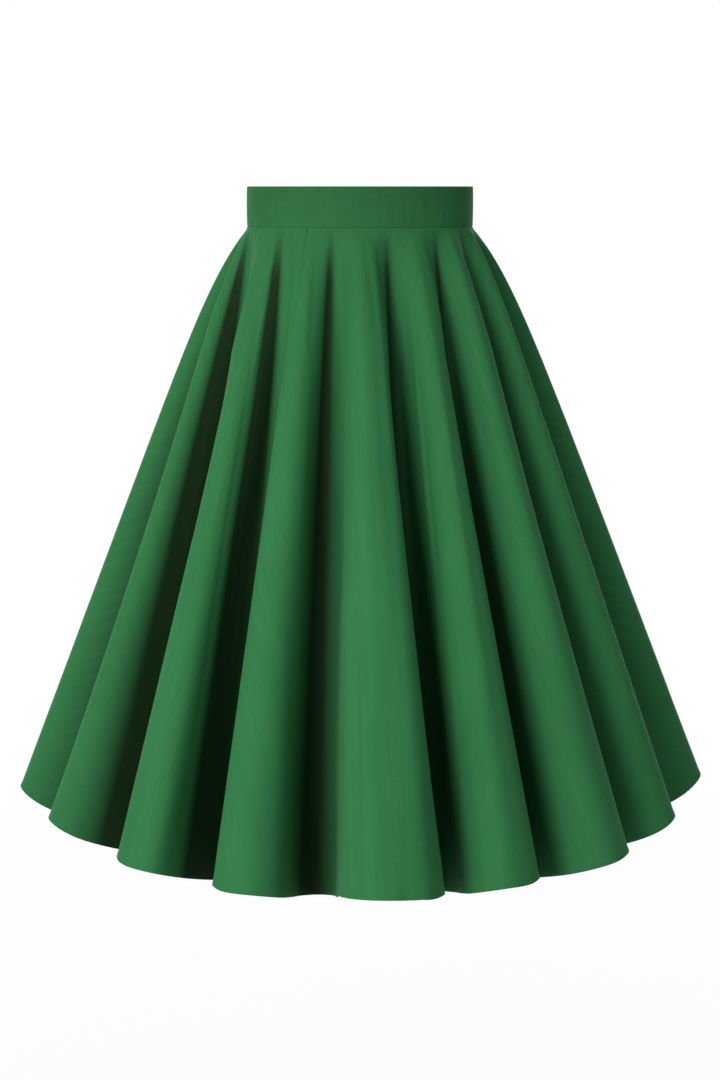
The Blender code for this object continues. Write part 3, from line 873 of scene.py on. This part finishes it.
def finish_hardware(name, bm, material, body, node):
    """Turn a bmesh of small metal parts into a smooth piece."""
    bmesh.ops.recalc_face_normals(bm, faces=bm.faces)
    mesh = bpy.data.meshes.new(name)
    bm.to_mesh(mesh)
    bm.free()
    mesh.shade_smooth()
    mesh.set_sharp_from_angle(angle=math.radians(CRISP_ANGLE))
    return add_piece(name, mesh, material, body, [node])


def make_slider(material):
    """Slider: plate in front of the opening, neck through it, body behind, lugs and pin."""
    bm = bmesh.new()
    half = SLIDER_HIGH.x
    low, high = SLIDER_LOW.z, SLIDER_HIGH.z
    body_back = SLIDER_LOW.y
    half_plate = half - PLATE_INSET
    add_block(bm, (-half_plate, PLATE_FACE - PLATE_DEPTH, low), (half_plate, PLATE_FACE, high), PLATE_EDGE)
    add_block(bm, (-NECK_WIDTH / 2, body_back + NECK_INSET, low + NECK_INSET),
              (NECK_WIDTH / 2, PLATE_FACE - SINK, high - NECK_INSET), NECK_EDGE)
    add_block(bm, (-half, body_back, low), (half, body_back + BODY_DEPTH, high), BODY_EDGE)
    for side in (-1, 1):
        inner = side * LUG_GAP / 2
        outer = side * (LUG_GAP / 2 + LUG_WALL)
        add_block(bm, (min(inner, outer), PLATE_FACE - SINK, PIN.z - LUG_HEIGHT / 2),
                  (max(inner, outer), SLIDER_HIGH.y, PIN.z + LUG_HEIGHT / 2), LUG_EDGE)
    reach = (LUG_GAP + LUG_WALL) / 2
    ends = ((reach, PIN_RADIUS), (reach, PIN_RADIUS * PIN_END_RING))
    rings = add_rings(bm, mirrored(ends), PIN_SIDES)
    join_rings(bm, rings, rings[1:])
    close_ends(bm, rings)
    finish_hardware("zip_slider_metal", bm, material, "skirt", "zip_slider")


def tab_outline(inset):
    """Outline of the pull tab in X and Z from its hinge line, drawn in by an inset."""
    end = TAB_WIDTHS[-1][1] - inset
    low = PIN.z - PULL_LOW.z - TAB_WIDTHS[-1][1]
    left = [(-width + inset, -fall - (inset if step == 0 else 0.0))
            for step, (fall, width) in enumerate(TAB_WIDTHS)]
    round_end = [(end * math.cos(math.pi + math.pi * step / TAB_END_STEPS),
                  -low + end * math.sin(math.pi + math.pi * step / TAB_END_STEPS))
                 for step in range(TAB_END_STEPS + 1)]
    right = [(-x, z) for x, z in reversed(left[:-1])]
    return left[:-1] + round_end + right


def make_pull(material):
    """Pull tab: an eye round the slider's pin and a flat tab with a raised rim on both faces."""
    bm = bmesh.new()
    edge = EYE_WIDTH / 2
    section = ((edge - EYE_CHAMFER, EYE_RADIUS), (edge, EYE_RADIUS - EYE_CHAMFER),
               (edge, EYE_BORE_RADIUS + BORE_CHAMFER), (edge - BORE_CHAMFER, EYE_BORE_RADIUS))
    rings = add_rings(bm, mirrored(section), EYE_SIDES)
    join_rings(bm, rings, rings[1:] + rings[:1])

    half = TAB_WALL / 2
    layers = [(inset, half - sunk) for inset, sunk in TAB_LAYERS]
    layers += [(inset, -depth) for inset, depth in reversed(layers)]
    loops = [[bm.verts.new((x, PIN.y + depth, PIN.z + z)) for x, z in tab_outline(inset)]
             for inset, depth in layers]
    join_rings(bm, loops, loops[1:])
    close_ends(bm, loops)
    finish_hardware("zip_pull_metal", bm, material, "pull_tab", "zip_pull")


# ---------------- materials

CLOTH_GREEN = (0.038, 0.216, 0.071, 1.0)
CLOTH_GREEN_DEEP = (0.032, 0.190, 0.062, 1.0)
CLOTH_GREEN_PALE = (0.046, 0.242, 0.083, 1.0)
# painted shade: the dark green that the folds' colour is darkened towards
PAINTED_FOLD_SHADE_GREEN = (0.0060, 0.0240, 0.0060, 1.0)
SHEEN_GREEN = (0.45, 0.80, 0.55, 1.0)
TAPE_GREEN = (0.024, 0.125, 0.046, 1.0)
TAPE_GREEN_DEEP = (0.019, 0.105, 0.038, 1.0)
TAPE_GREEN_PALE = (0.032, 0.150, 0.058, 1.0)
COIL_GREEN = (0.030, 0.150, 0.056, 1.0)
LACQUER_GREEN = (0.030, 0.175, 0.066, 1.0)
BARE_METAL = (0.46, 0.45, 0.42, 1.0)


def new_group(name, inputs, outputs):
    """A shader node group with named inputs (name, kind, value) and outputs (name, kind)."""
    group = bpy.data.node_groups.new(name, "ShaderNodeTree")
    for label, kind, value in inputs:
        socket = group.interface.new_socket(name=label, in_out="INPUT", socket_type=kind)
        socket.default_value = value
    for label, kind in outputs:
        group.interface.new_socket(name=label, in_out="OUTPUT", socket_type=kind)
    return group


def add_node(tree, kind, values=(), **settings):
    """A node with its settings by name and (label, value) pairs for its input sockets."""
    node = tree.nodes.new(kind)
    for name, value in settings.items():
        setattr(node, name, value)
    for label, value in values:
        node.inputs[label].default_value = value
    return node


def new_material(name):
    material = bpy.data.materials.new(name)
    material.use_nodes = True
    return material, material.node_tree


def give_relief(tree, shader, height, strength, depth):
    """Fine relief too small for the mesh, from a height socket."""
    relief = add_node(tree, "ShaderNodeBump", (("Strength", strength), ("Distance", depth)))
    tree.links.new(height, relief.inputs["Height"])
    tree.links.new(relief.outputs["Normal"], shader.inputs["Normal"])


def math_node(tree, operation, *operands, clamp=False):
    """A Math node; its operands are sockets or numbers."""
    node = add_node(tree, "ShaderNodeMath", operation=operation, use_clamp=clamp)
    for slot, operand in enumerate(operands):
        if isinstance(operand, (int, float)):
            node.inputs[slot].default_value = operand
        else:
            tree.links.new(operand, node.inputs[slot])
    return node.outputs[0]


def mix_colour(tree, factor, first, second):
    """Colour between two, each a socket or a colour."""
    node = add_node(tree, "ShaderNodeMix", data_type="RGBA")
    tree.links.new(factor, node.inputs["Factor"])
    for socket, colour in ((node.inputs[6], first), (node.inputs[7], second)):
        if isinstance(colour, tuple):
            socket.default_value = colour
        else:
            tree.links.new(colour, socket)
    return node.outputs[2]


def noise_of(tree, vector, scale, detail):
    """Noise over a vector; scale is one number for each axis."""
    stretch = add_node(tree, "ShaderNodeMapping", (("Scale", scale),))
    tree.links.new(vector, stretch.inputs["Vector"])
    noise = add_node(tree, "ShaderNodeTexNoise", (("Scale", 1.0), ("Detail", detail)), noise_dimensions="3D")
    tree.links.new(stretch.outputs[0], noise.inputs["Vector"])
    return noise.outputs[0]


# The weave: how many slubs, clouds and streaks lie on a metre of the cut, how strongly they tint
# the cloth and roughen it, and the threads' share of the relief
SLUB_ACROSS = 1400.0
SLUB_ALONG = 45.0
CLOUD_SCALE = (16.0, 7.0, 1.0)
STREAK_SCALE = (240.0, 6.0, 1.0)
CLOUD_CONTRAST = 2.6
STREAK_CONTRAST = 2.0
SHADE_FLOOR = -1.8
SLUB_CONTRAST = 1.1
SLUB_PALE = 0.12
SLUB_ROUGHNESS = 0.20
CLOUD_ROUGHNESS = 0.06
THREAD_SHARE = 0.30


def weave_group():
    """Woven cloth laid out in its flat cut: crossing threads, slubs and soft shade differences."""
    group = new_group(
        "woven_cloth",
        [
            ("Colour", "NodeSocketColor", (0.10, 0.10, 0.10, 1)),
            ("Deep Colour", "NodeSocketColor", (0.05, 0.05, 0.05, 1)),
            ("Pale Colour", "NodeSocketColor", (0.20, 0.20, 0.20, 1)),
            ("Threads per Metre", "NodeSocketFloat", 2200.0),
            ("Slub", "NodeSocketFloat", 1.0),
            ("Roughness", "NodeSocketFloat", 0.7),
        ],
        [("Colour", "NodeSocketColor"), ("Roughness", "NodeSocketFloat"), ("Height", "NodeSocketFloat")],
    )
    entry = group.nodes.new("NodeGroupInput")
    leave = group.nodes.new("NodeGroupOutput")
    cut = add_node(group, "ShaderNodeUVMap", uv_map="cut").outputs[0]
    split = group.nodes.new("ShaderNodeSeparateXYZ")
    group.links.new(cut, split.inputs[0])
    half_waves = [math_node(group, "MULTIPLY", axis, entry.outputs["Threads per Metre"])
                  for axis in split.outputs[:2]]
    threads = [math_node(group, "SINE", math_node(group, "MULTIPLY", waves, math.pi)) for waves in half_waves]
    weave = math_node(group, "MULTIPLY", *threads)
    warp_slubs = noise_of(group, cut, (SLUB_ACROSS, SLUB_ALONG, 1.0), 2.0)
    weft_slubs = noise_of(group, cut, (SLUB_ALONG, SLUB_ACROSS, 1.0), 2.0)
    slub = math_node(group, "SUBTRACT", math_node(group, "ADD", warp_slubs, weft_slubs), 1.0)
    slub = math_node(group, "MULTIPLY", slub, entry.outputs["Slub"])
    clouds = noise_of(group, cut, CLOUD_SCALE, 3.0)
    streaks = noise_of(group, cut, STREAK_SCALE, 2.0)

    shade = math_node(group, "MULTIPLY_ADD", clouds, CLOUD_CONTRAST, SHADE_FLOOR)
    shade = math_node(group, "MULTIPLY_ADD", streaks, STREAK_CONTRAST, shade, clamp=True)
    colour = mix_colour(group, shade, entry.outputs["Deep Colour"], entry.outputs["Colour"])
    pale = math_node(group, "MULTIPLY_ADD", slub, SLUB_CONTRAST, SLUB_PALE, clamp=True)
    colour = mix_colour(group, pale, colour, entry.outputs["Pale Colour"])
    group.links.new(colour, leave.inputs["Colour"])

    rough = math_node(group, "MULTIPLY_ADD", slub, SLUB_ROUGHNESS, entry.outputs["Roughness"])
    rough = math_node(group, "MULTIPLY_ADD", clouds, CLOUD_ROUGHNESS, rough, clamp=True)
    group.links.new(rough, leave.inputs["Roughness"])
    height = math_node(group, "MULTIPLY_ADD", weave, THREAD_SHARE, slub)
    group.links.new(height, leave.inputs["Height"])
    return group


# Finishes of the cloths: their colours, threads, slub, roughness, height of the threads and sheen
Cloth = namedtuple("Cloth", "name colour deep pale threads slub roughness thread_height sheen")
SKIRT_SATEEN = Cloth("skirt_sateen", CLOTH_GREEN, CLOTH_GREEN_DEEP, CLOTH_GREEN_PALE,
                     2400.0, 1.0, 0.70, 0.00008, 0.10)
BAND_SATEEN = Cloth("band_sateen", CLOTH_GREEN, CLOTH_GREEN_DEEP, CLOTH_GREEN_PALE,
                    2400.0, 1.2, 0.70, 0.00009, 0.10)
SKIRT_INSIDE = SKIRT_SATEEN._replace(name="skirt_sateen_inside")
ZIP_TAPE = Cloth("zip_tape_weave", TAPE_GREEN, TAPE_GREEN_DEEP, TAPE_GREEN_PALE,
                 1100.0, 0.7, 0.80, 0.00016, 0.05)
CLOTH_RELIEF = 0.5
CLOTH_GLOSS = 0.12
SHEEN_ROUGHNESS = 0.35


def cloth_material(cloth, weave, with_painted_shade=True):
    """Cloth from the weave group; where its mesh carries point values of painted shade, they darken its
    colour towards the fold green.
    """
    material, tree = new_material(cloth.name)
    shader = tree.nodes["Principled BSDF"]
    values = (("Colour", cloth.colour), ("Deep Colour", cloth.deep), ("Pale Colour", cloth.pale),
              ("Threads per Metre", cloth.threads), ("Slub", cloth.slub), ("Roughness", cloth.roughness))
    woven = add_node(tree, "ShaderNodeGroup", values, node_tree=weave)
    colour = woven.outputs["Colour"]
    if with_painted_shade:
        # painted shade: the point values darken the colour towards the fold green
        depth = add_node(tree, "ShaderNodeAttribute", attribute_type="GEOMETRY", attribute_name="painted_shade")
        colour = mix_colour(tree, depth.outputs["Fac"], colour, PAINTED_FOLD_SHADE_GREEN)
    tree.links.new(colour, shader.inputs["Base Color"])
    tree.links.new(woven.outputs["Roughness"], shader.inputs["Roughness"])
    give_relief(tree, shader, woven.outputs["Height"], CLOTH_RELIEF, cloth.thread_height)
    shader.inputs["Sheen Weight"].default_value = cloth.sheen
    shader.inputs["Sheen Roughness"].default_value = SHEEN_ROUGHNESS
    shader.inputs["Sheen Tint"].default_value = SHEEN_GREEN
    shader.inputs["Specular IOR Level"].default_value = CLOTH_GLOSS
    return material


# Lacquer and nylon: how fine their grain is, for each metre; gain and offset of the wear on sharp
# edges, of its spots and of the roughness; strength and depth of the relief
PEEL_SCALE = (2600.0, 2600.0, 2600.0)
PATCH_SCALE = (420.0, 420.0, 420.0)
EDGE_WEAR = (14.0, -8.1)
SPOT_WEAR = (3.2, -1.2)
LACQUER_ROUGHNESS = (0.12, 0.30)
LACQUER_RELIEF = (0.4, 0.00003)
NYLON_SCALE = (900.0, 900.0, 300.0)
NYLON_ROUGHNESS = (0.14, 0.36)
NYLON_RELIEF = (0.3, 0.00003)


def lacquer_material():
    """Satin green lacquer over metal: a fine orange peel, worn through on its sharpest edges."""
    material, tree = new_material("zip_lacquer")
    shader = tree.nodes["Principled BSDF"]
    place = add_node(tree, "ShaderNodeTexCoord").outputs["Object"]
    peel = noise_of(tree, place, PEEL_SCALE, 2.0)
    patches = noise_of(tree, place, PATCH_SCALE, 3.0)
    edge = add_node(tree, "ShaderNodeNewGeometry").outputs["Pointiness"]
    sharp = math_node(tree, "MULTIPLY_ADD", edge, *EDGE_WEAR, clamp=True)
    spots = math_node(tree, "MULTIPLY_ADD", patches, *SPOT_WEAR, clamp=True)
    worn = math_node(tree, "MULTIPLY", sharp, spots)
    tree.links.new(mix_colour(tree, worn, LACQUER_GREEN, BARE_METAL), shader.inputs["Base Color"])
    tree.links.new(worn, shader.inputs["Metallic"])
    rough = math_node(tree, "MULTIPLY_ADD", peel, *LACQUER_ROUGHNESS)
    tree.links.new(rough, shader.inputs["Roughness"])
    give_relief(tree, shader, peel, *LACQUER_RELIEF)
    return material


def coil_material():
    """Dyed nylon of the zip's coil: even colour, slightly mottled, with a soft gloss."""
    material, tree = new_material("zip_coil_nylon")
    shader = tree.nodes["Principled BSDF"]
    place = add_node(tree, "ShaderNodeTexCoord").outputs["Object"]
    grain = noise_of(tree, place, NYLON_SCALE, 2.0)
    tree.links.new(mix_colour(tree, grain, TAPE_GREEN, COIL_GREEN), shader.inputs["Base Color"])
    tree.links.new(math_node(tree, "MULTIPLY_ADD", grain, *NYLON_ROUGHNESS), shader.inputs["Roughness"])
    give_relief(tree, shader, grain, *NYLON_RELIEF)
    return material


# ---------------- studio

CAMERA_DISTANCE = 2.20
CAMERA_LENS = 70.45
CAMERA_PITCH = 9.5
FLOOR_DROP = 0.45
FLOOR_HALF = 9.0
SHADOW_REACH = 2.2
SHADOW_SHARE = 0.05
WORLD_LIGHT = 0.01
WHITE = (1.0, 1.0, 1.0, 1.0)
PALE_GREY = (0.45, 0.45, 0.45, 1.0)


def make_camera():
    """Stands in front of the skirt at the height of its top edge, tipped down."""
    data = bpy.data.cameras.new("camera")
    data.lens = CAMERA_LENS
    data.sensor_width = 36.0
    data.clip_end = 50.0
    camera = new_object("camera", data)
    camera.location = (0.0, -CAMERA_DISTANCE, BAND_TOP)
    camera.rotation_euler = (math.radians(90 - CAMERA_PITCH), 0.0, 0.0)
    bpy.context.scene.camera = camera


def seen_directly(tree):
    """1 for what the camera, a gloss or a glass sees, 0 for light on its way."""
    path = tree.nodes.new("ShaderNodeLightPath")
    seen = math_node(tree, "MAXIMUM", path.outputs["Is Camera Ray"], path.outputs["Is Glossy Ray"])
    return math_node(tree, "MAXIMUM", seen, path.outputs["Is Transmission Ray"])


def finish_tree(tree, output, seen, unseen, shown):
    """Mixes the shader for light on its way with the one that is seen, and ends the tree."""
    mix = tree.nodes.new("ShaderNodeMixShader")
    for socket, source in zip(mix.inputs, (seen, unseen.outputs[0], shown.outputs[0])):
        tree.links.new(source, socket)
    tree.links.new(mix.outputs[0], tree.nodes.new(output).inputs[0])


def floor_material():
    """White to look at, with the object's soft shadow under it; pale grey for light on its way.

    The shadow's share fades out towards the floor's far part, which meets the white behind it.
    """
    material, tree = new_material("studio_floor")
    tree.nodes.clear()
    white = add_node(tree, "ShaderNodeEmission", (("Color", WHITE), ("Strength", 1.0)))
    pale = add_node(tree, "ShaderNodeBsdfDiffuse", (("Color", PALE_GREY),))
    place = add_node(tree, "ShaderNodeTexCoord").outputs["Object"]
    away = add_node(tree, "ShaderNodeVectorMath", operation="LENGTH")
    tree.links.new(place, away.inputs[0])
    near = math_node(tree, "MULTIPLY_ADD", away.outputs["Value"], -1 / SHADOW_REACH, 1.0, clamp=True)
    shown = math_node(tree, "MULTIPLY_ADD", near, -SHADOW_SHARE, 1.0)
    seen = math_node(tree, "MULTIPLY", seen_directly(tree), shown)
    finish_tree(tree, "ShaderNodeOutputMaterial", seen, pale, white)
    return material


def make_floor():
    """A wide pale floor well below the hem."""
    mesh = bpy.data.meshes.new("studio_floor")
    corners = [(x * FLOOR_HALF, y * FLOOR_HALF, 0.0) for x, y in ((-1, -1), (1, -1), (1, 1), (-1, 1))]
    mesh.from_pydata(corners, [], [(0, 1, 2, 3)])
    mesh.materials.append(floor_material())
    floor = new_object("studio_floor", mesh)
    floor.location.z = HEM_LEVEL - FLOOR_DROP


def make_world():
    """White behind the skirt, and a low even light from all round."""
    world = bpy.data.worlds.new("studio")
    bpy.context.scene.world = world
    world.use_nodes = True
    tree = world.node_tree
    tree.nodes.clear()
    light, white = [add_node(tree, "ShaderNodeBackground", (("Color", WHITE), ("Strength", strength)))
                    for strength in (WORLD_LIGHT, 1.0)]
    finish_tree(tree, "ShaderNodeOutputWorld", seen_directly(tree), light, white)


# Lamps: angle round the skirt (0 in front, 90 at +X), height above the band, distance, size, power
Lamp = namedtuple("Lamp", "name angle height distance size power")
LAMPS = [Lamp(*row) for row in (
    ("key_lamp", -30, 2.1, 4.5, 1.8, 160.0),
    ("left_lamp", -50, 1.05, 4.5, 1.8, 26.0),
    ("low_left_lamp", -75, -0.6, 4.5, 1.8, 24.0),
    ("high_right_lamp", 30, 3.3, 4.5, 1.8, 18.0),
    ("right_lamp", 45, 1.05, 4.5, 1.8, 17.0),
    ("back_left_lamp", -150, 2.1, 4.5, 1.9, 60.0),
    ("back_right_lamp", 155, 2.1, 4.5, 1.9, 45.0),
)]


def make_lamps():
    target = Vector((0.0, 0.0, (BAND_TOP + HEM_LEVEL) / 2))
    for lamp in LAMPS:
        data = bpy.data.lights.new(lamp.name, "AREA")
        data.shape = "SQUARE"
        data.size = lamp.size
        data.energy = lamp.power
        thing = new_object(lamp.name, data)
        thing.location = (*plan_points(lamp.angle, lamp.distance), BAND_TOP + lamp.height)
        aim = target - thing.location
        thing.rotation_euler = aim.to_track_quat("-Z", "Y").to_euler()


# ---------------- all together


def main():
    bpy.context.scene.view_settings.view_transform = "Standard"
    make_camera()
    make_floor()
    make_world()
    make_lamps()
    weave = weave_group()
    # the inside material takes no painted fold shade
    make_panels(cloth_material(SKIRT_SATEEN, weave), cloth_material(SKIRT_INSIDE, weave, with_painted_shade=False))
    make_waistband(cloth_material(BAND_SATEEN, weave))
    tape = cloth_material(ZIP_TAPE, weave)
    nylon = coil_material()
    for side in (1, -1):
        make_tape(side, tape)
        make_coil(side, nylon)
    lacquer = lacquer_material()
    make_slider(lacquer)
    make_pull(lacquer)


main()
